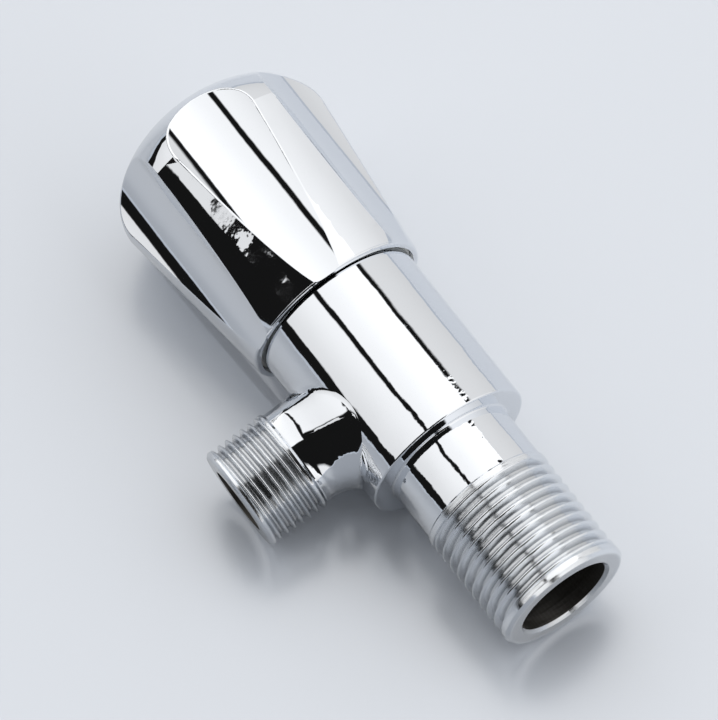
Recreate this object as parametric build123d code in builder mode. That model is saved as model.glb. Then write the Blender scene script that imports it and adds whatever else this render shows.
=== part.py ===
from math import ceil, cos, radians, sin, sqrt, tan
import os

from build123d import *

# Angle stop valve, quarter turn, 1/2 inch inlet and 3/8 inch outlet. Millimetres.
# The origin is where the main axis meets the outlet axis. The main axis is Y:
# the handle lies toward -Y and the wall end (inlet) toward +Y. The outlet is +Z.
# A "station" is the distance from the origin toward the handle, so y = -station.

# Body casting, inlet side
INLET_END = -42.0
INLET_MAJOR = 10.4775
INLET_PITCH = 1.814
INLET_THREAD_LENGTH = 19.2
INLET_BORE = 7.4
NECK = 10.2
STEP = -13.3
STEP_FILLET = 0.35
SLEEVE = 13.4
SLEEVE_EDGE = 0.3
SLEEVE_END = 18.0
WALL_TO_SEAT = -15.0
SEAT = -11.0
SEAT_BORE = 5.6
CHAMBER = 10.0
CHAMBER_END = 5.4

# External threads, 55 degree form with rounded crests
THREAD_DEPTH_RATIO = 0.6403
THREAD_FLANK = 27.5
CREST_ROUND_RATIO = 0.1373
CREST_DROP = 0.04
LEAD_CHAMFER = 0.5
INLET_LAND = 0.9
OUTLET_LAND = 0.4
RIDGE_SUNK = 0.2

# Outlet branch; each flare section is height, radius and shift toward the inlet
OUTLET_END = 29.0
OUTLET_MAJOR = 8.331
OUTLET_PITCH = 1.337
OUTLET_THREAD_LENGTH = 10.0
OUTLET_BORE = 5.2
SHANK = 7.95
FLARE = ((18.4, 7.95, 0.0), (15.4, 8.15, 0.2), (12.2, 9.3, 1.2), (6.0, 10.4, 1.9))
JUNCTION_FILLET = 1.4

# Joint between the sleeve and the cartridge housing, rings at the pitch of the thread
JOINT_BODY_MAJOR = 10.25
JOINT_BODY_MINOR = 9.20
JOINT_HOUSING_MAJOR = 10.19
JOINT_HOUSING_MINOR = 9.10
JOINT_PITCH = 1.814
JOINT_START = 6.6
JOINT_RINGS = 4
JOINT_BODY_CREST = 0.20
JOINT_HOUSING_CREST = 0.16
JOINT_LEAD = 0.5
JOINT_RUNOUT = 14.5
JOINT_RELIEF = 10.7
JOINT_RELIEF_START = 15.1
HOUSING_NECK_START = 14.9

# Cartridge housing
CAGE = 8.9
CAGE_BOTTOM = -9.5
CAGE_BORE = 7.9
CAGE_CEILING = 5.0
HOUSING_NECK = 9.6
EDGE_BEVEL = 0.3
FLANGE = 12.5
FLANGE_TOP = 20.0
HEX_FLATS = 20.0
HEX_TOP = 26.5
BARREL = 6.6
BARREL_TOP = 30.0
STOP_TOP = 31.8
STOP_INNER = 5.0
STOP_LUG_HALF = 12.0
STOP_OPENING = 116.0
STOP_PLAY = 1.0
STEM_BORE = 4.05
RING_SEAT = 11.5
RING_SEAT_LOW = 16.1
WINDOW_WIDTH = 12.0
WINDOW_LOW = -1.2
WINDOW_HIGH = 4.0

# Ceramic discs and seat parts
FIXED_DISC = 7.8
TURNING_DISC = 7.7
DISC_THICKNESS = 3.0
DISC_FACE = -4.5
FACE_GAP = 0.02
PORT_INNER = 2.2
PORT_OUTER = 5.3
PORT_HALF_ANGLE = 38.0
KEY_WIDTH = 3.0
KEY_REACH = 8.8
SEAL_INNER = 5.4
SUPPORT_OUTER = 5.35
SUPPORT_INNER = 4.4
SUPPORT_LEDGE = 4.0
SUPPORT_PLAY = 0.2
SCREEN_LOW = -10.35
SCREEN_SEAT = 0.4
SCREEN_THICKNESS = 0.39
SCREEN_HOLE = 0.35
SCREEN_SPACING = 1.15
SCREEN_ROWS = 7

# Carrier that turns the upper disc
CARRIER = 7.6
CARRIER_TOP = 0.5
DOG_INNER = 6.2
DOG_OUTER = 7.4
DOG_WIDTH = 2.6
DOG_DEPTH = 1.4
DOG_PLAY = 0.1
BLADE_LENGTH = 8.0
BLADE_WIDTH = 2.8
BLADE_DEPTH = 1.4

# Spindle
STEM = 4.0
STEM_THIN = 2.5
COLLAR = 6.5
COLLAR_LOW = 2.5
COLLAR_TOP = 4.4
SEAL_GROOVE_STATIONS = (9.0, 13.0)
SEAL_GROOVE_WIDTH = 1.7
SEAL_SECTION = 0.76
RING_PLAY = 0.02
STOP_RING_FLAT = 3.4
CLIP_LOW = 31.9
CLIP_THICKNESS = 0.6
CLIP_GROOVE = 3.3
CLIP_OPENING = 5.3
SPLINE_TEETH = 20
SPLINE_ROOT = 3.45
SPLINE_TIP = 3.9
SPLINE_TOOTH = 0.55
SPLINE_START = 33.0
SPINDLE_TOP = 42.0
SCREW_HOLE = 2.0
SCREW_HOLE_END = 33.0

# Handle
RIM = 14.7
RIM_RADIUS = 14.8
RIM_ROUND = 0.35
SHOULDER = 43.4
SHOULDER_RADIUS = 17.9
DOME_TOP = 54.3
SKIRT_BORE = 13.9
SKIRT_BORE_END = 21.5
CAVITY = 12.4
CAVITY_END = 41.5
CAVITY_BEVEL = 1.5
FLUTES = 6
FLUTE_RADIUS = 14.4
FLUTE_CENTRE = 28.9
FLUTE_START = 2.5
FLUTE_EDGE = 0.4
HUB = 8.2
HUB_LOW = 33.4
INSERT_FLATS = 12.0
INSERT_TOP = 42.6
WEB_HOLE = 2.3
WEB_TOP = 46.0

# Screw and washer that hold the handle; the head's crown has two steps
SCREW_LENGTH = 12.0
SCREW_TIP = 0.4
SCREW_HEAD = 3.7
SCREW_HEAD_HEIGHT = 2.4
SCREW_HEAD_SHOULDER = (3.4, 1.9)
SCREW_HEAD_CROWN = 2.6
CROSS_FLOOR = 0.8
CROSS_LENGTH = 4.0
CROSS_WIDTH = 0.8
WASHER_OUTER = 3.8
WASHER_INNER = 2.15
WASHER_THICKNESS = 0.7
WASHER_SPLIT = 0.5
WASHER_SPLIT_ANGLE = 30.0

# Cap over the screw
SCREW_POCKET = 5.6
CAP_SEAT = 51.6
CAP_RADIUS = 7.0
CAP_PROUD = 0.25
CAP_FLAT = 2.2
CAP_SKIRT = 1.8
CAP_SKIRT_INNER = 4.5
MARKER_INNER = 3.4
MARKER_OUTER = 4.6
MARKER_DEPTH = 0.6

# Ring that steadies the handle skirt on the sleeve
GLIDE_GROOVE = 12.7
GLIDE_LOW = 15.6
GLIDE_HIGH = 17.1
GLIDE_OUTER = 13.82

SLACK = 0.05
DISC_TOP = DISC_FACE + DISC_THICKNESS
DISC_BOTTOM = DISC_FACE - DISC_THICKNESS
DOME_RISE = DOME_TOP - SHOULDER
WIDE = 60.0


def across(station):
    """The plane square to the main axis at a station, facing the handle."""
    return Plane.XZ.offset(station)


def turned(outline):
    """An outline of (radius, station) points turned around the main axis."""
    with BuildPart() as piece:
        with BuildSketch(Plane.XY):
            with BuildLine():
                Polyline(*[(radius, -station) for radius, station in outline], close=True)
            make_face()
        revolve(axis=Axis.Y)
    return piece.part


def ring(inner, outer, low, high):
    """A plain ring between two stations."""
    return turned([(inner, low), (outer, low), (outer, high), (inner, high)])


def o_ring(inner, section, station):
    """A rubber ring of round section."""
    with BuildPart() as piece:
        with BuildSketch(Plane.XY):
            with Locations((inner + section, -station)):
                Circle(section)
        revolve(axis=Axis.Y)
    return piece.part


def wedge(first, last):
    """A triangular face from the axis outward between two angles."""
    start = Vector(WIDE, 0).rotate(Axis.Z, first)
    end = Vector(WIDE, 0).rotate(Axis.Z, last)
    with BuildSketch() as triangle:
        with BuildLine():
            Polyline((0, 0), (start.X, start.Y), (end.X, end.Y), close=True)
        make_face()
    return triangle.sketch


def thread_root(major, pitch):
    return major - THREAD_DEPTH_RATIO * pitch


def thread_ridge(seat, major, pitch, length, land):
    """Pieces of a helical ridge that starts and ends in the plain lands."""
    first = LEAD_CHAMFER + land / 2
    last = length - land / 2
    root = thread_root(major, pitch)
    height = major - root - CREST_DROP
    crest_round = CREST_ROUND_RATIO * pitch
    flank_top = height - crest_round * (1 - sin(radians(THREAD_FLANK)))
    half_crest = crest_round * cos(radians(THREAD_FLANK))
    half_base = half_crest + (flank_top + RIDGE_SUNK) * tan(radians(THREAD_FLANK))
    count = ceil((last - first) / pitch)
    rise = (last - first) / count
    with BuildPart() as segment:
        with BuildLine():
            Helix(pitch=pitch, height=rise, radius=root)
        with BuildSketch(Plane(origin=(root, 0, 0), x_dir=(1, 0, 0), z_dir=(0, 1, 0))):
            with BuildLine():
                ThreePointArc((flank_top, -half_crest), (height, 0), (flank_top, half_crest))
                Polyline(
                    (flank_top, half_crest),
                    (-RIDGE_SUNK, half_base),
                    (-RIDGE_SUNK, -half_base),
                    (flank_top, -half_crest),
                )
            make_face()
        sweep(is_frenet=True)
    turn = 360 * rise / pitch
    return [
        seat.location * Location((0, 0, first + rise * i), (0, 0, turn * i)) * segment.part
        for i in range(count)
    ]


def threaded_end(major, pitch, length, land, after):
    """Outline of a threaded end as (radius, depth) points, from the end face inward."""
    root = thread_root(major, pitch)
    slope = (major - root) * tan(radians(THREAD_FLANK))
    return [
        (major - LEAD_CHAMFER, 0),
        (major, LEAD_CHAMFER),
        (major, LEAD_CHAMFER + land),
        (root, LEAD_CHAMFER + land + slope),
        (root, length - land - slope),
        (major, length - land),
        (major, length),
        (after, length + (major - after)),
    ]


def joint_rings(crest, root, half_crest):
    """Outline of the ring-shaped threads in the cartridge joint."""
    half_base = half_crest + (crest - root) * tan(radians(THREAD_FLANK))
    points = []
    for i in range(JOINT_RINGS):
        middle = JOINT_START + JOINT_PITCH * (i + 0.5)
        points += [
            (root, middle - half_base),
            (crest, middle - half_crest),
            (crest, middle + half_crest),
            (root, middle + half_base),
        ]
    return points


def ports(angle, low, high):
    """Two opposite sector openings, as a cutter between two stations."""
    bridges = [wedge(side + PORT_HALF_ANGLE, side + 180 - PORT_HALF_ANGLE) for side in (0, 180)]
    with BuildPart() as cutter:
        with BuildSketch(across(low).rotated((0, 0, angle))):
            Circle(PORT_OUTER)
            Circle(PORT_INNER, mode=Mode.SUBTRACT)
            add(bridges, mode=Mode.SUBTRACT)
        extrude(amount=high - low)
    return cutter.part


# ---- Valve body

def inlet_and_sleeve():
    """Outside of the straight part of the casting."""
    inlet = [
        (radius, INLET_END + depth)
        for radius, depth in threaded_end(
            INLET_MAJOR, INLET_PITCH, INLET_THREAD_LENGTH, INLET_LAND, NECK
        )
    ]
    return turned(
        [(0, INLET_END)]
        + inlet
        + [
            (NECK, STEP),
            (SLEEVE, STEP),
            (SLEEVE, GLIDE_LOW),
            (GLIDE_GROOVE, GLIDE_LOW),
            (GLIDE_GROOVE, GLIDE_HIGH),
            (SLEEVE, GLIDE_HIGH),
            (SLEEVE, SLEEVE_END),
            (0, SLEEVE_END),
        ]
    )


def body_waterway():
    """The turned hollow of the casting, from the inlet to the cartridge joint."""
    return turned(
        [
            (0, INLET_END),
            (INLET_BORE + LEAD_CHAMFER, INLET_END),
            (INLET_BORE, INLET_END + LEAD_CHAMFER),
            (INLET_BORE, WALL_TO_SEAT),
            (SEAT_BORE, WALL_TO_SEAT),
            (SEAT_BORE, SEAT),
            (CHAMBER, SEAT),
            (CHAMBER, CHAMBER_END),
            (JOINT_BODY_MINOR, CHAMBER_END + JOINT_LEAD),
        ]
        + joint_rings(JOINT_BODY_MAJOR, JOINT_BODY_MINOR, JOINT_BODY_CREST)
        + [
            (JOINT_BODY_MINOR, JOINT_RUNOUT),
            (JOINT_RELIEF, JOINT_RELIEF_START),
            (JOINT_RELIEF, RING_SEAT_LOW),
            (RING_SEAT, RING_SEAT_LOW),
            (RING_SEAT, SLEEVE_END),
            (0, SLEEVE_END),
        ]
    )


def outlet_branch():
    """Outside of the outlet, with the flare that leans toward the inlet."""
    outline = [
        (radius, OUTLET_END - depth)
        for radius, depth in threaded_end(
            OUTLET_MAJOR, OUTLET_PITCH, OUTLET_THREAD_LENGTH, OUTLET_LAND, SHANK
        )
    ]
    root_height = FLARE[0][0]
    with BuildPart() as branch:
        with BuildSketch(Plane.XZ):
            with BuildLine():
                Polyline((0, OUTLET_END), *outline, (SHANK, root_height), (0, root_height), close=True)
            make_face()
        revolve(axis=Axis.Z)
        for height, radius, shift in FLARE:
            with BuildSketch(Plane.XY.offset(height)):
                with Locations((0, shift)):
                    Circle(radius)
        loft()
    return branch.part


def step_circles(edges, radius):
    """The circular edges of a radius on the step between the neck and the sleeve."""
    return edges.filter_by(GeomType.CIRCLE).filter_by(
        lambda edge: abs(edge.radius - radius) < SLACK and abs(edge.center().Y + STEP) < SLACK
    )


inlet_plane = Plane(origin=(0, -INLET_END, 0), x_dir=(1, 0, 0), z_dir=(0, -1, 0))
outlet_plane = Plane(origin=(0, 0, OUTLET_END), x_dir=(1, 0, 0), z_dir=(0, 0, -1))
inlet_ridge = thread_ridge(
    inlet_plane, INLET_MAJOR, INLET_PITCH, INLET_THREAD_LENGTH, INLET_LAND
)
outlet_ridge = thread_ridge(
    outlet_plane, OUTLET_MAJOR, OUTLET_PITCH, OUTLET_THREAD_LENGTH, OUTLET_LAND
)
sleeve_solid = inlet_and_sleeve()
branch_solid = outlet_branch()
waterway = body_waterway()
with BuildPart() as valve_body:
    add(sleeve_solid)
    add(branch_solid)
    junction = valve_body.edges().filter_by(GeomType.BSPLINE).filter_by(
        lambda edge: edge.length > SLEEVE
    )
    fillet(junction, JUNCTION_FILLET)
    fillet(step_circles(valve_body.edges(), NECK), STEP_FILLET)
    fillet(step_circles(valve_body.edges(), SLEEVE), SLEEVE_EDGE)
    add(waterway, mode=Mode.SUBTRACT)
    with BuildSketch(Plane.XY.offset(CHAMBER / 2)):
        Circle(OUTLET_BORE)
    extrude(amount=OUTLET_END, mode=Mode.SUBTRACT)
    add(inlet_ridge)
    add(outlet_ridge)

# ---- Cartridge housing
housing_blank = turned(
    [
        (CAGE_BORE, CAGE_BOTTOM),
        (CAGE - EDGE_BEVEL, CAGE_BOTTOM),
        (CAGE, CAGE_BOTTOM + EDGE_BEVEL),
        (CAGE, CHAMBER_END),
        (JOINT_HOUSING_MINOR, CHAMBER_END + JOINT_LEAD),
    ]
    + joint_rings(JOINT_HOUSING_MAJOR, JOINT_HOUSING_MINOR, JOINT_HOUSING_CREST)
    + [
        (JOINT_HOUSING_MINOR, JOINT_RUNOUT),
        (HOUSING_NECK, HOUSING_NECK_START),
        (HOUSING_NECK, SLEEVE_END),
        (FLANGE - EDGE_BEVEL, SLEEVE_END),
        (FLANGE, SLEEVE_END + EDGE_BEVEL),
        (FLANGE, FLANGE_TOP - EDGE_BEVEL),
        (FLANGE - EDGE_BEVEL, FLANGE_TOP),
        (BARREL, FLANGE_TOP),
        (BARREL, BARREL_TOP),
        (STEM_BORE + EDGE_BEVEL, BARREL_TOP),
        (STEM_BORE, BARREL_TOP - EDGE_BEVEL),
        (STEM_BORE, CAGE_CEILING),
        (CAGE_BORE, CAGE_CEILING),
    ]
)
stop_start = -STOP_LUG_HALF - STOP_PLAY
stop_opening = wedge(stop_start, stop_start + STOP_OPENING)
with BuildPart() as cartridge_housing:
    add(housing_blank)
    with BuildSketch(across(FLANGE_TOP)):
        RegularPolygon(HEX_FLATS / 2, 6, major_radius=False)
        Circle(STEM_BORE, mode=Mode.SUBTRACT)
    extrude(amount=HEX_TOP - FLANGE_TOP)
    chamfer(
        cartridge_housing.faces().filter_by(Axis.Y).group_by(Axis.Y)[1].edges()
        .filter_by(GeomType.LINE),
        LEAD_CHAMFER,
    )
    with BuildSketch(across(BARREL_TOP)):
        Circle(BARREL)
        Circle(STOP_INNER, mode=Mode.SUBTRACT)
        add(stop_opening, mode=Mode.SUBTRACT)
    extrude(amount=STOP_TOP - BARREL_TOP)
    with BuildSketch(across(WINDOW_LOW)):
        Rectangle(WINDOW_WIDTH, WIDE)
        Circle(CAGE_BORE, mode=Mode.SUBTRACT)
    extrude(amount=WINDOW_HIGH - WINDOW_LOW, mode=Mode.SUBTRACT)
    with BuildSketch(across(CAGE_BOTTOM)):
        Rectangle(WIDE, KEY_WIDTH + 2 * SLACK)
    extrude(amount=DISC_FACE + SLACK - CAGE_BOTTOM, mode=Mode.SUBTRACT)

# ---- Other pieces fixed in the body
housing_o_ring = o_ring(
    HOUSING_NECK + RING_PLAY,
    (RING_SEAT - HOUSING_NECK) / 2 - RING_PLAY,
    (RING_SEAT_LOW + SLEEVE_END) / 2,
)
seat_seal = ring(SEAL_INNER, CAGE_BORE - SLACK, SEAT, DISC_BOTTOM)
seal_support = turned(
    [
        (SUPPORT_INNER, SEAT + SUPPORT_PLAY),
        (SUPPORT_OUTER, SEAT + SUPPORT_PLAY),
        (SUPPORT_OUTER, DISC_BOTTOM - SUPPORT_PLAY),
        (SUPPORT_LEDGE, DISC_BOTTOM - SUPPORT_PLAY),
        (SUPPORT_LEDGE, SCREEN_LOW + SCREEN_SEAT),
        (SUPPORT_INNER, SCREEN_LOW + SCREEN_SEAT),
    ]
)
with BuildPart() as flow_screen:
    with BuildSketch(across(SCREEN_LOW)):
        Circle(SUPPORT_INNER - SLACK / 2)
        with HexLocations(SCREEN_SPACING / sqrt(3), SCREEN_ROWS, SCREEN_ROWS) as grid:
            inside = [
                place for place in grid.local_locations
                if place.position.length < SUPPORT_LEDGE - SCREEN_HOLE
            ]
        with Locations(*inside):
            Circle(SCREEN_HOLE, mode=Mode.SUBTRACT)
    extrude(amount=SCREEN_THICKNESS)

with BuildPart() as fixed_disc:
    with BuildSketch(across(DISC_BOTTOM)):
        Circle(FIXED_DISC)
        Rectangle(2 * KEY_REACH, KEY_WIDTH)
    extrude(amount=DISC_THICKNESS - FACE_GAP)
    add(ports(0, DISC_BOTTOM - DISC_THICKNESS, DISC_TOP), mode=Mode.SUBTRACT)

skirt_glide_ring = ring(GLIDE_GROOVE + SLACK, GLIDE_OUTER, GLIDE_LOW + SLACK, GLIDE_HIGH - SLACK)

# ---- Cartridge pieces that turn with the handle
with BuildPart() as turning_disc:
    with BuildSketch(across(DISC_FACE)):
        Circle(TURNING_DISC)
    extrude(amount=DISC_THICKNESS)
    with BuildSketch(across(DISC_TOP - DOG_DEPTH - DOG_PLAY)):
        with PolarLocations(TURNING_DISC, 2):
            Rectangle(2 * (TURNING_DISC - DOG_INNER + DOG_PLAY), DOG_WIDTH + 2 * SLACK)
    extrude(amount=DISC_THICKNESS, mode=Mode.SUBTRACT)
    add(ports(90, DISC_BOTTOM, DISC_TOP + DISC_THICKNESS), mode=Mode.SUBTRACT)

with BuildPart() as disc_carrier:
    with BuildSketch(across(DISC_TOP)):
        Circle(CARRIER)
    extrude(amount=CARRIER_TOP - DISC_TOP)
    with BuildSketch(across(DISC_TOP - DOG_DEPTH)):
        with PolarLocations((DOG_INNER + DOG_OUTER) / 2, 2):
            Rectangle(DOG_OUTER - DOG_INNER, DOG_WIDTH)
    extrude(amount=DOG_DEPTH)
    with BuildSketch(across(CARRIER_TOP - BLADE_DEPTH - SLACK)):
        Rectangle(BLADE_LENGTH + 2 * SLACK, BLADE_WIDTH + 2 * SLACK)
    extrude(amount=2 * BLADE_DEPTH, mode=Mode.SUBTRACT)
    add(ports(90, DISC_BOTTOM, DISC_TOP + DISC_THICKNESS), mode=Mode.SUBTRACT)

grooves = []
for middle in SEAL_GROOVE_STATIONS:
    grooves += [
        (STEM, middle - SEAL_GROOVE_WIDTH / 2),
        (STEM_THIN, middle - SEAL_GROOVE_WIDTH / 2),
        (STEM_THIN, middle + SEAL_GROOVE_WIDTH / 2),
        (STEM, middle + SEAL_GROOVE_WIDTH / 2),
    ]
stem = turned(
    [
        (0, CARRIER_TOP),
        (STEM_THIN, CARRIER_TOP),
        (STEM_THIN, COLLAR_LOW),
        (COLLAR, COLLAR_LOW),
        (COLLAR, COLLAR_TOP),
        (STEM, COLLAR_TOP),
    ]
    + grooves
    + [
        (STEM, CLIP_LOW),
        (CLIP_GROOVE, CLIP_LOW),
        (CLIP_GROOVE, CLIP_LOW + CLIP_THICKNESS),
        (SPLINE_TIP, CLIP_LOW + CLIP_THICKNESS),
        (SPLINE_TIP, SPLINE_START),
        (SPLINE_ROOT, SPLINE_START),
        (SPLINE_ROOT, SPINDLE_TOP),
        (0, SPINDLE_TOP),
    ]
)
with BuildPart() as spindle:
    add(stem)
    with BuildSketch(across(CARRIER_TOP - BLADE_DEPTH)):
        Rectangle(BLADE_LENGTH, BLADE_WIDTH)
    extrude(amount=BLADE_DEPTH)
    with BuildSketch(across(SPLINE_START)):
        with PolarLocations((SPLINE_ROOT + SPLINE_TIP) / 2 - SLACK, SPLINE_TEETH):
            Rectangle(SPLINE_TIP - SPLINE_ROOT + 2 * SLACK, SPLINE_TOOTH)
    extrude(amount=SPINDLE_TOP - LEAD_CHAMFER - SPLINE_START)
    with BuildSketch(across(BARREL_TOP)):
        Circle(2 * STEM)
        Rectangle(WIDE, 2 * STOP_RING_FLAT, mode=Mode.SUBTRACT)
    extrude(amount=CLIP_LOW - BARREL_TOP, mode=Mode.SUBTRACT)
    with BuildSketch(across(SCREW_HOLE_END)):
        Circle(SCREW_HOLE)
    extrude(amount=SPINDLE_TOP - SCREW_HOLE_END, mode=Mode.SUBTRACT)

glide_washer = ring(STEM + SLACK, COLLAR, COLLAR_TOP + FACE_GAP, CAGE_CEILING - FACE_GAP)
lower_o_ring, upper_o_ring = [
    o_ring(STEM_THIN + RING_PLAY / 2, SEAL_SECTION, middle) for middle in SEAL_GROOVE_STATIONS
]
lug = wedge(-STOP_LUG_HALF, STOP_LUG_HALF)
with BuildPart() as stop_ring:
    with BuildSketch(across(BARREL_TOP + SLACK)):
        add(lug)
        Circle(BARREL - SLACK, mode=Mode.INTERSECT)
        Circle(STOP_INNER - 2 * SLACK)
        with BuildSketch(mode=Mode.SUBTRACT):
            Circle(STEM + SLACK)
            Rectangle(WIDE, 2 * (STOP_RING_FLAT + SLACK), mode=Mode.INTERSECT)
    extrude(amount=STOP_TOP - BARREL_TOP - 2 * SLACK)
with BuildPart() as spindle_clip:
    with BuildSketch(across(CLIP_LOW + SLACK / 2)):
        Circle(STOP_INNER)
        Circle(CLIP_GROOVE + SLACK, mode=Mode.SUBTRACT)
        with Locations((0, STOP_INNER)):
            Rectangle(CLIP_OPENING, 2 * STOP_INNER, mode=Mode.SUBTRACT)
    extrude(amount=CLIP_THICKNESS - SLACK)


# ---- Handle

def dome(extra):
    """Elliptical dome above the shoulder, enlarged all round by a small amount."""
    rise = DOME_RISE + extra
    with BuildPart() as blank:
        with BuildSketch(Plane.XY):
            with BuildLine():
                Polyline((0, -SHOULDER - rise), (0, -SHOULDER), (SHOULDER_RADIUS + extra, -SHOULDER))
                EllipticalCenterArc(
                    (0, -SHOULDER), SHOULDER_RADIUS + extra, rise, start_angle=-90, arc_size=90
                )
            make_face()
        revolve(axis=Axis.Y)
    return blank.part


def dome_height(radius):
    """Station of the dome surface at a radius."""
    return SHOULDER + DOME_RISE * sqrt(1 - (radius / SHOULDER_RADIUS) ** 2)


def rim_envelope():
    """Everything the handle may fill, with a rounded edge at the rim."""
    with BuildPart() as envelope:
        with BuildSketch(Plane.XY):
            with BuildLine():
                RadiusArc((RIM_RADIUS - RIM_ROUND, -RIM), (RIM_RADIUS, -RIM - RIM_ROUND), RIM_ROUND)
                Polyline(
                    (RIM_RADIUS, -RIM - RIM_ROUND),
                    (WIDE, -WIDE),
                    (0, -2 * WIDE),
                    (0, -RIM),
                    (RIM_RADIUS - RIM_ROUND, -RIM),
                )
            make_face()
        revolve(axis=Axis.Y)
    return envelope.part


handle_cone = turned([(0, RIM), (RIM_RADIUS, RIM), (SHOULDER_RADIUS, SHOULDER), (0, SHOULDER)])
handle_dome = dome(0)
rounded_rim = rim_envelope()
handle_hollow = turned(
    [
        (0, RIM),
        (SKIRT_BORE, RIM),
        (SKIRT_BORE, SKIRT_BORE_END),
        (CAVITY, SKIRT_BORE_END + CAVITY_BEVEL),
        (CAVITY, CAVITY_END - 2 * CAVITY_BEVEL),
        (CAVITY - CAVITY_BEVEL, CAVITY_END),
        (HUB, CAVITY_END),
        (HUB, HUB_LOW),
        (0, HUB_LOW),
    ]
)
with BuildPart() as handle:
    add(handle_cone)
    add(handle_dome)
    with BuildSketch(across(0)):
        with PolarLocations(FLUTE_CENTRE, FLUTES, start_angle=FLUTE_START):
            Circle(FLUTE_RADIUS)
    extrude(amount=2 * DOME_TOP, mode=Mode.SUBTRACT)
    flute_edges = handle.edges().filter_by(GeomType.BSPLINE).filter_by(
        lambda edge: edge.length > SHOULDER_RADIUS
    )
    shoulder_edges = handle.edges().filter_by(GeomType.CIRCLE).filter_by(
        lambda edge: abs(edge.center().Y + SHOULDER) < SLACK
    )
    fillet(flute_edges + shoulder_edges, FLUTE_EDGE)
    add(rounded_rim, mode=Mode.INTERSECT)
    add(handle_hollow, mode=Mode.SUBTRACT)
    with BuildSketch(across(HUB_LOW)):
        RegularPolygon(INSERT_FLATS / 2, 6, major_radius=False)
    extrude(amount=INSERT_TOP - HUB_LOW, mode=Mode.SUBTRACT)
    with BuildSketch(across(INSERT_TOP)):
        Circle(WEB_HOLE)
    extrude(amount=WEB_TOP - INSERT_TOP, mode=Mode.SUBTRACT)
    with BuildSketch(across(WEB_TOP)):
        Circle(SCREW_POCKET)
    extrude(amount=CAP_SEAT - WEB_TOP, mode=Mode.SUBTRACT)
    with BuildSketch(across(CAP_SEAT)):
        Circle(CAP_RADIUS + SLACK)
    extrude(amount=DOME_TOP, mode=Mode.SUBTRACT)

with BuildPart() as handle_insert:
    with BuildSketch(across(HUB_LOW)):
        RegularPolygon(INSERT_FLATS / 2 - SLACK / 2, 6, major_radius=False)
        Circle(SPLINE_ROOT + SLACK, mode=Mode.SUBTRACT)
        with PolarLocations((SPLINE_ROOT + SPLINE_TIP) / 2, SPLINE_TEETH):
            Rectangle(
                SPLINE_TIP - SPLINE_ROOT + 4 * SLACK, SPLINE_TOOTH + 2 * SLACK, mode=Mode.SUBTRACT
            )
    extrude(amount=INSERT_TOP - SLACK - HUB_LOW)

screw_seat = WEB_TOP + WASHER_THICKNESS
screw_end = screw_seat - SCREW_LENGTH
screw_shank = SCREW_HOLE - SLACK
screw_blank = turned(
    [
        (0, screw_end),
        (screw_shank - SCREW_TIP, screw_end),
        (screw_shank, screw_end + SCREW_TIP),
        (screw_shank, screw_seat),
        (SCREW_HEAD, screw_seat),
        (SCREW_HEAD, screw_seat + SCREW_HEAD_HEIGHT / 2),
        (SCREW_HEAD_SHOULDER[0], screw_seat + SCREW_HEAD_SHOULDER[1]),
        (SCREW_HEAD_CROWN, screw_seat + SCREW_HEAD_HEIGHT),
        (0, screw_seat + SCREW_HEAD_HEIGHT),
    ]
)
with BuildPart() as handle_screw:
    add(screw_blank)
    with BuildSketch(across(screw_seat + CROSS_FLOOR)):
        Rectangle(CROSS_LENGTH, CROSS_WIDTH)
        Rectangle(CROSS_WIDTH, CROSS_LENGTH)
    extrude(amount=SCREW_HEAD_HEIGHT, mode=Mode.SUBTRACT)
with BuildPart() as lock_washer:
    with BuildSketch(across(WEB_TOP)):
        Circle(WASHER_OUTER)
        Circle(WASHER_INNER, mode=Mode.SUBTRACT)
        with Locations(Location((SCREW_HEAD, 0), WASHER_SPLIT_ANGLE)):
            Rectangle(WASHER_OUTER + SCREW_HOLE, WASHER_SPLIT, mode=Mode.SUBTRACT)
    extrude(amount=WASHER_THICKNESS)

marker_floor = dome_height(MARKER_OUTER) + CAP_PROUD - MARKER_DEPTH
cap_dome = dome(CAP_PROUD)
with BuildPart() as index_cap:
    with BuildSketch(across(CAP_SEAT)):
        Circle(CAP_RADIUS)
    extrude(amount=dome_height(CAP_FLAT) + CAP_PROUD - CAP_SEAT)
    add(cap_dome, mode=Mode.INTERSECT)
    with BuildSketch(across(CAP_SEAT - CAP_SKIRT)):
        Circle(SCREW_POCKET - SLACK)
        Circle(CAP_SKIRT_INNER, mode=Mode.SUBTRACT)
    extrude(amount=CAP_SKIRT)
    with BuildSketch(across(marker_floor)):
        Circle(MARKER_OUTER + SLACK)
        Circle(MARKER_INNER - SLACK, mode=Mode.SUBTRACT)
    extrude(amount=DOME_TOP, mode=Mode.SUBTRACT)
index_marker = turned(
    [
        (MARKER_INNER, marker_floor),
        (MARKER_OUTER, marker_floor),
        (MARKER_OUTER, dome_height(MARKER_OUTER) + CAP_PROUD + SLACK),
        (MARKER_INNER, dome_height(MARKER_INNER) + CAP_PROUD + SLACK),
    ]
)

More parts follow.
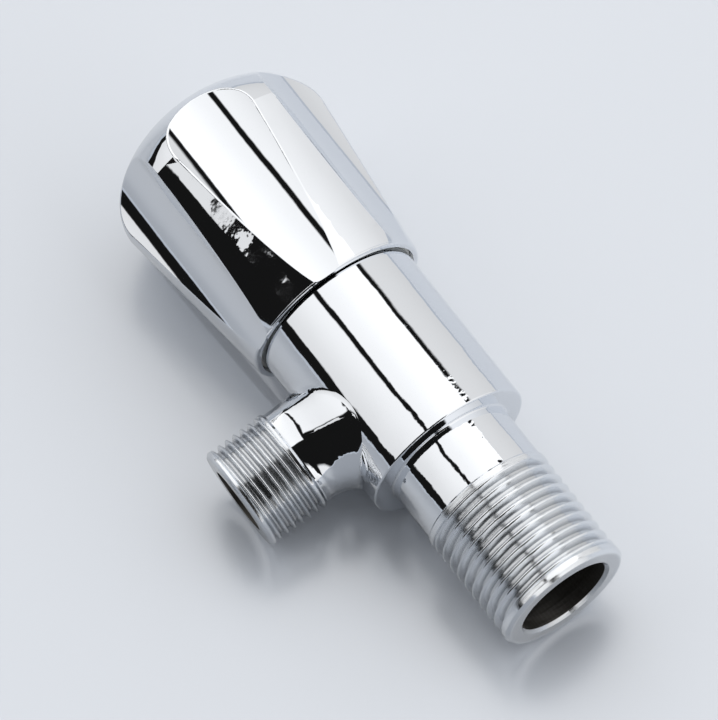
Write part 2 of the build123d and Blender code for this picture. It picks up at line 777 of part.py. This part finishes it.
# ---- One file for each piece
pieces = {
    "valve_body": valve_body.part,
    "cartridge_housing": cartridge_housing.part,
    "housing_o_ring": housing_o_ring,
    "seat_seal": seat_seal,
    "seal_support_ring": seal_support,
    "flow_screen": flow_screen.part,
    "fixed_disc": fixed_disc.part,
    "skirt_glide_ring": skirt_glide_ring,
    "turning_disc": turning_disc.part,
    "disc_carrier": disc_carrier.part,
    "spindle": spindle.part,
    "glide_washer": glide_washer,
    "lower_spindle_o_ring": lower_o_ring,
    "upper_spindle_o_ring": upper_o_ring,
    "stop_ring": stop_ring.part,
    "spindle_clip": spindle_clip.part,
    "handle": handle.part,
    "handle_insert": handle_insert.part,
    "handle_screw": handle_screw.part,
    "lock_washer": lock_washer.part,
    "index_cap": index_cap.part,
    "index_marker": index_marker,
}
os.makedirs("parts", exist_ok=True)
for name, piece in pieces.items():
    piece.label = name
    export_step(piece, f"parts/{name}.step")
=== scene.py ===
import bpy
from mathutils import Matrix, Vector


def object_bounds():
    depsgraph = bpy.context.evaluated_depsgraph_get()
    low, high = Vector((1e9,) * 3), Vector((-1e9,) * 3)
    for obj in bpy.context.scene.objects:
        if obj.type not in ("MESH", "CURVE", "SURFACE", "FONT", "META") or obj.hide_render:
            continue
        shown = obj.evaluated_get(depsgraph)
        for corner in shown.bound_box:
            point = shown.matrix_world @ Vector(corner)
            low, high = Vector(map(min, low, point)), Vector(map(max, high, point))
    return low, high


# Looks of the chrome angle stop valve: finishes, table, studio light and camera.
# The main axis of the valve is Y (handle toward -Y), the outlet points along +Z.
# "around" is the angle about Y: 0 on the outlet side, 90 on the camera side.
# "along" is the share of a direction that points toward the handle.
# A passage of two numbers is where a smooth step starts and ends; two more
# numbers are its first and last value.

MM = 0.001
MICRON = 0.000001
BLACK = (0.0, 0.0, 0.0)

# Camera, in the valve's frame
CAMERA_PLACE = Vector((-0.8395, 0.2939, 0.0841))
CAMERA_BACK = Vector((-0.9376, 0.3355, 0.0916)).normalized()
CAMERA_UP = Vector((-0.3223, -0.7391, -0.5915))
CAMERA_LENS = 302.9
CAMERA_SENSOR = 36.0
CAMERA_CLIP = (0.01, 10.0)

# Table that the valve lies on, and the plain backdrop it fades into; the table is
# a little darker in the mirror of the chrome, along Z toward the outlet side, a painted shade in place of
# the valve's shadow
TABLE_NORMAL = Vector((-0.9807, -0.0715, -0.1818)).normalized()
TABLE_HEIGHT = -13.48 * MM
TABLE_HALF_SIDE = 0.4
TABLE_FADE = (0.2, 0.35, 1.0, 0.0)
TABLE_SEEN_FROM = (0.6, 0.8)
TABLE_PAINT = (0.575, 0.613, 0.675)
TABLE_PAINT_WORN = 0.97
TABLE_PAINT_GRAIN = 9.0
TABLE_ROUGHNESS = 0.6
TABLE_PAINTED_MIRROR_SHADE = (-0.03, 0.03, 0.0, 0.30)
TABLE_GLOSS = 0.25
TABLE_GLOSS_ROUGHNESS = 0.26
BACKDROP = (0.720, 0.752, 0.812)
BELOW_TABLE = (0.50, 0.54, 0.60)
HORIZON = (-0.01, 0.01)

# Soft boxes: angles around, softness of their edges, brightness at both edges; the
# bridge box lies over the top box and shifts round past its end toward the inlet
SIDE_BOX = (23.0, 73.5, 1.0, 0.85, 1.05)
TOP_BOX = (80.0, 140.0, 1.0, 1.05, 1.30)
FAR_BOX = (146.5, 215.0, 2.0, 0.82, 0.70)
LOW_BOX = (112.0, 215.0, 3.0, 1.10, 0.72)
BRIDGE_BOX = (128.0, 139.0, 1.0, 1.25, 1.25)
BOX_START = (0.23, 0.28)
TOP_BOX_START = (0.06, 0.10)
BRIDGE_SHIFT = (0.314, 0.322, 9.0, 0.0)

# Glint: brightness, angles around at which it starts and ends, its end along the axis
GLINT = 0.85
GLINT_START = (0.154, 0.170, 72.0, 43.0)
GLINT_END = (0.144, 0.176, 71.0, 56.0)
GLINT_EDGE = 0.5
GLINT_FADE = (0.215, 0.23, 1.0, 0.0)

# Card at the inlet end, and the light between the boxes
END_CARD = (-60.0, 78.0, 5.0, 0.95, 0.95)
END_CARD_START = (0.82, 0.90)
DARK_ROOM = 0.008
FILL = 0.20
FILL_GAIN = 1.59

# Zones of the valve body with their own surface; a thread root is two radii and
# the share of light at each, a painted shade that darkens the threads toward their roots
INLET_THREAD = 22.6 * MM
OUTLET_THREAD = 18.8 * MM
INLET_ROOT_SHADE = (9.4 * MM, 10.1 * MM, 0.78, 1.0)
OUTLET_ROOT_SHADE = (7.55 * MM, 8.15 * MM, 0.70, 1.0)
INLET_BORE = 7.43 * MM
OUTLET_BORE = 5.3 * MM
BORE_START = 8.0 * MM
NECK_START = 13.4 * MM
HANDLE_RIM = -14.7 * MM
ZONE_EDGE = 0.3 * MM
BORE_EDGE = 0.05 * MM

# Chrome: two colours and two roughnesses of each surface, darkest and lightest grain
PLATE = ((0.86, 0.88, 0.91), (0.84, 0.86, 0.89))
CUT = ((0.93, 0.94, 0.96), (0.76, 0.79, 0.82))
# Bores: bare dull metal, its colours darkened further as painted shade inside the bores
BARE_AND_SHADED = ((0.20, 0.185, 0.165), (0.07, 0.065, 0.06))
POLISHED = (0.3, 0.8, 0.012, 0.035)
SATIN = (0.3, 0.7, 0.10, 0.26)
DULL = (0.3, 0.7, 0.35, 0.55)
SMUDGE_SCALE = 220.0
STREAK_SCALE = 120.0
STREAK_STRETCH = 20.0
STREAK_HEIGHT = (20 * MICRON, 60 * MICRON)
WAVE_SCALE = 140.0
WAVE_HEIGHT = 70 * MICRON
RIPPLE_SCALE = 600.0
RIPPLE_HEIGHT = 8 * MICRON
UNEVEN_NECK = (0.0, NECK_START, 1.0, 3.0)
UNEVEN_HANDLE = (HANDLE_RIM - ZONE_EDGE, HANDLE_RIM, 0.5, 1.0)

# Plain finishes by material slot: name, light and dark colour, metallic share,
# roughness, scale of the grain, its relief, and how far it is drawn out into lines
PLAIN_FINISHES = {
    "brass": (
        "turned_brass", (0.80, 0.60, 0.26), (0.62, 0.43, 0.16), 1.0, 0.22, 500.0, 10 * MICRON, 12.0
    ),
    "seal_rubber": (
        "nitrile_rubber", (0.030, 0.030, 0.032), (0.015, 0.015, 0.016), 0.0, 0.62, 4000.0, 12 * MICRON, 1.0
    ),
    "white_plastic": (
        "natural_acetal", (0.84, 0.84, 0.81), (0.76, 0.76, 0.72), 0.0, 0.38, 1800.0, 6 * MICRON, 1.0
    ),
    "ceramic": (
        "lapped_alumina", (0.88, 0.87, 0.82), (0.80, 0.78, 0.72), 0.0, 0.14, 6000.0, 1 * MICRON, 1.0
    ),
    "steel": (
        "stainless_steel", (0.66, 0.66, 0.67), (0.52, 0.52, 0.54), 1.0, 0.28, 500.0, 6 * MICRON, 16.0
    ),
    "marker_blue": (
        "blue_marker_paint", (0.03, 0.13, 0.52), (0.02, 0.10, 0.42), 0.0, 0.25, 2500.0, 8 * MICRON, 1.0
    ),
}
PATCHES_COARSER = 6
TONE_CONTRAST = (0.35, 0.65)
SHEEN_CONTRAST = (0.3, 0.7)
SHEEN_SPREAD = 0.2

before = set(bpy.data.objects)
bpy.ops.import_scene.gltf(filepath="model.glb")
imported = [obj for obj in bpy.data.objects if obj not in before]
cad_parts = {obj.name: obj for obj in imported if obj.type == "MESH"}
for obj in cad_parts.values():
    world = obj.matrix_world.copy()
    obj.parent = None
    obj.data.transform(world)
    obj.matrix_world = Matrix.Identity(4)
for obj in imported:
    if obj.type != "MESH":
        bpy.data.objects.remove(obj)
cad_low, cad_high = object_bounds()
centre = (cad_low + cad_high) / 2


# ---------------------------------------------------------------- node helpers

def new_node(tree, kind, **settings):
    node = tree.nodes.new(kind)
    for name, value in settings.items():
        setattr(node, name, value)
    return node


def feed(tree, socket, value):
    """Link an output into a socket, or set the socket to a plain value."""
    if isinstance(value, bpy.types.NodeSocket):
        tree.links.new(value, socket)
    else:
        socket.default_value = value


def math(tree, operation, *values):
    node = new_node(tree, "ShaderNodeMath", operation=operation)
    for socket, value in zip(node.inputs, values):
        feed(tree, socket, value)
    return node.outputs[0]


def vector_math(tree, operation, *values):
    node = new_node(tree, "ShaderNodeVectorMath", operation=operation)
    for socket, value in zip(node.inputs, values):
        feed(tree, socket, value)
    return node.outputs["Value"] if operation in ("DOT_PRODUCT", "LENGTH") else node.outputs[0]


def step(tree, value, low, high, first=0.0, last=1.0):
    """Smooth step from first to last while value goes from low to high."""
    node = new_node(tree, "ShaderNodeMapRange", interpolation_type="SMOOTHSTEP")
    feed(tree, node.inputs["Value"], value)
    node.inputs["From Min"].default_value = low
    node.inputs["From Max"].default_value = high
    node.inputs["To Min"].default_value = first
    node.inputs["To Max"].default_value = last
    return node.outputs["Result"]


def blend_values(tree, factor, first, second):
    """Number between first and second."""
    node = new_node(tree, "ShaderNodeMix", data_type="FLOAT")
    feed(tree, node.inputs[0], factor)
    feed(tree, node.inputs[2], first)
    feed(tree, node.inputs[3], second)
    return node.outputs[0]


def blend_colours(tree, factor, first, second):
    """Colour between first and second, each a socket or three numbers."""
    node = new_node(tree, "ShaderNodeMix", data_type="RGBA")
    feed(tree, node.inputs["Factor"], factor)
    for socket, value in zip(node.inputs[6:8], (first, second)):
        feed(tree, socket, (*value, 1.0) if isinstance(value, tuple) else value)
    return node.outputs[2]


def noise(tree, place, scale, detail=2.0):
    node = new_node(tree, "ShaderNodeTexNoise")
    feed(tree, node.inputs["Vector"], place)
    node.inputs["Scale"].default_value = scale
    node.inputs["Detail"].default_value = detail
    return node.outputs["Fac"]


def bump(tree, height, distance, normal=None):
    """Relief on a surface, its height going from 0 to distance in metres."""
    node = new_node(tree, "ShaderNodeBump")
    feed(tree, node.inputs["Height"], height)
    feed(tree, node.inputs["Distance"], distance)
    if normal is not None:
        feed(tree, node.inputs["Normal"], normal)
    return node.outputs[0]


def new_material(name):
    material = bpy.data.materials.new(name)
    material.use_nodes = True
    tree = material.node_tree
    shader = tree.nodes["Principled BSDF"]
    place = new_node(tree, "ShaderNodeTexCoord").outputs["Object"]
    return material, tree, shader, place


# ---------------------------------------------------------------- studio

def soft_box(tree, around, box):
    """Light of one box over the angles around the valve."""
    first, last, soft, first_light, last_light = box
    rise = step(tree, around, first - soft, first + soft)
    fall = step(tree, around, last - soft, last + soft, 1.0, 0.0)
    light = step(tree, around, first, last, first_light, last_light)
    return math(tree, "MULTIPLY", math(tree, "MULTIPLY", rise, fall), light)


def bridge_box(tree, around, along):
    """Light that closes the gap after the top box toward the inlet, so that the
    dark line it leaves on the sleeve tapers off."""
    shift = step(tree, along, *BRIDGE_SHIFT)
    return soft_box(tree, math(tree, "SUBTRACT", around, shift), BRIDGE_BOX)


def glint_patch(tree, around, along):
    """Small slanted patch, seen in the dark ridge between two flutes of the handle."""
    start = step(tree, along, *GLINT_START)
    end = step(tree, along, *GLINT_END)
    rise = step(tree, math(tree, "SUBTRACT", around, start), -GLINT_EDGE, GLINT_EDGE)
    fall = step(tree, math(tree, "SUBTRACT", end, around), -GLINT_EDGE, GLINT_EDGE)
    fade = step(tree, along, *GLINT_FADE)
    return math(tree, "MULTIPLY", math(tree, "MULTIPLY", rise, fall), fade)


def studio():
    world = bpy.data.worlds.new("studio")
    bpy.context.scene.world = world
    world.use_nodes = True
    tree = world.node_tree
    direction = new_node(tree, "ShaderNodeTexCoord").outputs["Generated"]
    parts = new_node(tree, "ShaderNodeSeparateXYZ")
    feed(tree, parts.inputs[0], direction)
    x, y, z = parts.outputs

    # Angle around the valve, from -90 to 270
    around = math(tree, "DEGREES", math(tree, "ARCTAN2", math(tree, "MULTIPLY", x, -1.0), z))
    wrapped = math(tree, "MULTIPLY", math(tree, "LESS_THAN", around, -90.0), 360.0)
    around = math(tree, "ADD", around, wrapped)
    along = math(tree, "MULTIPLY", y, -1.0)
    height = vector_math(tree, "DOT_PRODUCT", direction, tuple(TABLE_NORMAL))

    # Boxes around the valve with narrow dark gaps between them
    toward_handle = step(tree, along, *BOX_START)
    toward_inlet = math(tree, "SUBTRACT", 1.0, toward_handle)
    bridge = bridge_box(tree, around, along)
    glint = glint_patch(tree, around, along)
    boxes = [
        math(tree, "MULTIPLY", soft_box(tree, around, SIDE_BOX), toward_handle),
        math(tree, "MULTIPLY", soft_box(tree, around, TOP_BOX), step(tree, along, *TOP_BOX_START)),
        math(tree, "MULTIPLY", soft_box(tree, around, FAR_BOX), toward_handle),
        math(tree, "MULTIPLY", soft_box(tree, around, LOW_BOX), toward_inlet),
        math(tree, "MULTIPLY", bridge, toward_handle),
        math(tree, "MULTIPLY", glint, GLINT),
        math(tree, "MULTIPLY", soft_box(tree, around, END_CARD), step(tree, y, *END_CARD_START)),
    ]
    room = DARK_ROOM
    for box in boxes:
        room = math(tree, "MAXIMUM", room, box)
    above = step(tree, height, *HORIZON)
    seen = blend_colours(tree, above, BELOW_TABLE, room)

    # Matt surfaces get the same boxes plus an even fill; the camera sees the plain backdrop
    fill = math(tree, "ADD", math(tree, "MULTIPLY", room, 1.0 - FILL), FILL)
    fill = math(tree, "MULTIPLY", math(tree, "MULTIPLY", fill, above), FILL_GAIN)
    path = new_node(tree, "ShaderNodeLightPath")
    colour = blend_colours(tree, path.outputs["Is Glossy Ray"], fill, seen)
    colour = blend_colours(tree, path.outputs["Is Camera Ray"], colour, BACKDROP)
    feed(tree, tree.nodes["Background"].inputs["Color"], colour)


def table():
    """Smooth table top, seen only from above and fading into the backdrop."""
    turn = TABLE_NORMAL.to_track_quat("Z", "Y").to_matrix().to_4x4()
    middle = centre + TABLE_NORMAL * (TABLE_HEIGHT - centre.dot(TABLE_NORMAL))
    stand = Matrix.Translation(middle) @ turn
    corners = [
        stand @ Vector((TABLE_HALF_SIDE * across, TABLE_HALF_SIDE * up, 0))
        for across, up in ((1, 1), (-1, 1), (-1, -1), (1, -1))
    ]
    mesh = bpy.data.meshes.new("table")
    mesh.from_pydata(corners, [], [(0, 1, 2, 3)])
    top = bpy.data.objects.new("table", mesh)
    bpy.context.scene.collection.objects.link(top)

    material, tree, shader, place = new_material("table_top")
    mesh.materials.append(material)
    tone = noise(tree, place, TABLE_PAINT_GRAIN)
    worn = tuple(TABLE_PAINT_WORN * channel for channel in TABLE_PAINT)
    paint = blend_colours(tree, tone, TABLE_PAINT, worn)
    path = new_node(tree, "ShaderNodeLightPath")
    geometry = new_node(tree, "ShaderNodeNewGeometry")
    side = vector_math(tree, "DOT_PRODUCT", geometry.outputs["Position"], (0.0, 0.0, 1.0))
    # Painted shade: the table seen in the chrome is darkened toward the outlet side, in place of the
    # valve's shadow
    darker = math(tree, "MULTIPLY", path.outputs["Is Glossy Ray"], step(tree, side, *TABLE_PAINTED_MIRROR_SHADE))
    feed(tree, shader.inputs["Base Color"], blend_colours(tree, darker, paint, BLACK))
    shader.inputs["Roughness"].default_value = TABLE_ROUGHNESS
    shader.inputs["Specular IOR Level"].default_value = 0.0
    gloss = new_node(tree, "ShaderNodeBsdfGlossy")
    gloss.inputs["Roughness"].default_value = TABLE_GLOSS_ROUGHNESS
    surface = new_node(tree, "ShaderNodeMixShader")
    feed(tree, surface.inputs[0], TABLE_GLOSS)
    feed(tree, surface.inputs[1], shader.outputs[0])
    feed(tree, surface.inputs[2], gloss.outputs[0])

    facing = vector_math(tree, "DOT_PRODUCT", geometry.outputs["Incoming"], tuple(TABLE_NORMAL))
    offset = vector_math(tree, "SUBTRACT", geometry.outputs["Position"], tuple(centre))
    near = step(tree, vector_math(tree, "LENGTH", offset), *TABLE_FADE)
    shown = math(tree, "MULTIPLY", step(tree, facing, *TABLE_SEEN_FROM), near)
    shown = math(tree, "MAXIMUM", shown, math(tree, "SUBTRACT", 1.0, path.outputs["Is Camera Ray"]))
    front = math(tree, "SUBTRACT", 1.0, geometry.outputs["Backfacing"])
    clear = new_node(tree, "ShaderNodeBsdfTransparent").outputs[0]
    blend = new_node(tree, "ShaderNodeMixShader")
    feed(tree, blend.inputs[0], math(tree, "MULTIPLY", shown, front))
    feed(tree, blend.inputs[1], clear)
    feed(tree, blend.inputs[2], surface.outputs[0])
    feed(tree, tree.nodes["Material Output"].inputs["Surface"], blend.outputs[0])


def camera():
    data = bpy.data.cameras.new("camera")
    data.lens = CAMERA_LENS
    data.sensor_width = CAMERA_SENSOR
    data.clip_start, data.clip_end = CAMERA_CLIP
    viewer = bpy.data.objects.new("camera", data)
    bpy.context.scene.collection.objects.link(viewer)
    up = (CAMERA_UP - CAMERA_BACK * CAMERA_UP.dot(CAMERA_BACK)).normalized()
    right = up.cross(CAMERA_BACK)
    turn = Matrix((right, up, CAMERA_BACK)).transposed().to_4x4()
    viewer.matrix_world = Matrix.Translation(CAMERA_PLACE) @ turn
    bpy.context.scene.camera = viewer


# ---------------------------------------------------------------- finishes

def distance_from_axis(tree, place, axis):
    flat = vector_math(tree, "MULTIPLY", place, tuple(0.0 if name == axis else 1.0 for name in "XYZ"))
    return vector_math(tree, "LENGTH", flat)


def beyond(tree, value, edge, passage=ZONE_EDGE):
    """0 below the edge and 1 above it, with a short passage."""
    return step(tree, value, edge - passage, edge + passage)


def bore(tree, place, axis, radius, depth):
    """1 inside a bore round the given axis."""
    outside = beyond(tree, distance_from_axis(tree, place, axis), radius, BORE_EDGE)
    return math(tree, "MULTIPLY", math(tree, "SUBTRACT", 1.0, outside), beyond(tree, depth, BORE_START))


def lines_across(tree, place, axis, scale, stretch):
    """Fine uneven lines that run round the given axis."""
    sizes = tuple(scale * stretch if name == axis else scale for name in "XYZ")
    return noise(tree, vector_math(tree, "MULTIPLY", place, sizes), 1.0, 3.0)


def chrome():
    """Mirror plate; satin on the threads, bare and dull in the bores, where painted shade darkens the bare
    colour.
    """
    material, tree, shader, place = new_material("bright_chrome")
    parts = new_node(tree, "ShaderNodeSeparateXYZ")
    feed(tree, parts.inputs[0], place)
    _, y, z = parts.outputs

    outlet_thread = beyond(tree, z, OUTLET_THREAD)
    threads = math(tree, "MAXIMUM", beyond(tree, y, INLET_THREAD), outlet_thread)
    inlet_bore = bore(tree, place, "Y", INLET_BORE, y)
    bores = math(tree, "MAXIMUM", inlet_bore, bore(tree, place, "Z", OUTLET_BORE, z))

    # Streaks left by the thread cutter and the drill
    inlet_lines = lines_across(tree, place, "Y", STREAK_SCALE, STREAK_STRETCH)
    outlet_lines = lines_across(tree, place, "Z", STREAK_SCALE, STREAK_STRETCH)
    streaks = blend_values(tree, outlet_thread, inlet_lines, outlet_lines)
    smudge = noise(tree, place, SMUDGE_SCALE)
    roughness = blend_values(tree, threads, step(tree, smudge, *POLISHED), step(tree, streaks, *SATIN))
    roughness = blend_values(tree, bores, roughness, step(tree, streaks, *DULL))
    feed(tree, shader.inputs["Roughness"], roughness)

    # Painted shade: threads are darker toward their roots
    inlet_painted_shade = step(tree, distance_from_axis(tree, place, "Y"), *INLET_ROOT_SHADE)
    outlet_painted_shade = step(tree, distance_from_axis(tree, place, "Z"), *OUTLET_ROOT_SHADE)
    painted_root_shade = blend_values(tree, outlet_thread, inlet_painted_shade, outlet_painted_shade)
    cut = blend_colours(tree, painted_root_shade, BLACK, blend_colours(tree, streaks, *CUT))
    colour = blend_colours(tree, threads, blend_colours(tree, smudge, *PLATE), cut)
    # Bores: bare metal colour, darkened as painted shade
    colour = blend_colours(tree, bores, colour, blend_colours(tree, streaks, *BARE_AND_SHADED))
    feed(tree, shader.inputs["Base Color"], colour)
    shader.inputs["Metallic"].default_value = 1.0

    # Slight unevenness of the casting under the plate, least on the handle and most near the inlet
    uneven = math(tree, "MULTIPLY", step(tree, y, *UNEVEN_NECK), step(tree, y, *UNEVEN_HANDLE))
    wave_height = math(tree, "MULTIPLY", uneven, WAVE_HEIGHT)
    wave = bump(tree, noise(tree, place, WAVE_SCALE, 1.0), wave_height)
    ripple_height = math(tree, "MULTIPLY", uneven, RIPPLE_HEIGHT)
    ripple = bump(tree, noise(tree, place, RIPPLE_SCALE), ripple_height, wave)
    streak_height = math(tree, "MULTIPLY", threads, blend_values(tree, outlet_thread, *STREAK_HEIGHT))
    feed(tree, shader.inputs["Normal"], bump(tree, streaks, streak_height, ripple))
    return material


def grained(name, light, dark, metallic, roughness, scale, relief, stretch):
    """Plain finish whose colour, sheen and relief vary with a fine grain.
    A stretch above 1 draws the grain out into lines round the main axis."""
    material, tree, shader, place = new_material(name)
    grain = lines_across(tree, place, "Y", scale, stretch)
    patches = noise(tree, place, scale / PATCHES_COARSER)
    tone = math(tree, "MULTIPLY", math(tree, "ADD", grain, patches), 0.5)
    colour = blend_colours(tree, step(tree, tone, *TONE_CONTRAST), light, dark)
    feed(tree, shader.inputs["Base Color"], colour)
    sheen = ((1 - SHEEN_SPREAD) * roughness, (1 + SHEEN_SPREAD) * roughness)
    feed(tree, shader.inputs["Roughness"], step(tree, tone, *SHEEN_CONTRAST, *sheen))
    shader.inputs["Metallic"].default_value = metallic
    feed(tree, shader.inputs["Normal"], bump(tree, grain, relief))
    return material


def finish_nodes():
    finishes = {"chrome": chrome()}
    for slot, values in PLAIN_FINISHES.items():
        finishes[slot] = grained(*values)
    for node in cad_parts.values():
        slot = node.data.materials[0].name.split(".")[0]
        node.data.materials[0] = finishes[slot]


bpy.context.scene.view_settings.view_transform = "Standard"
studio()
table()
camera()
finish_nodes()
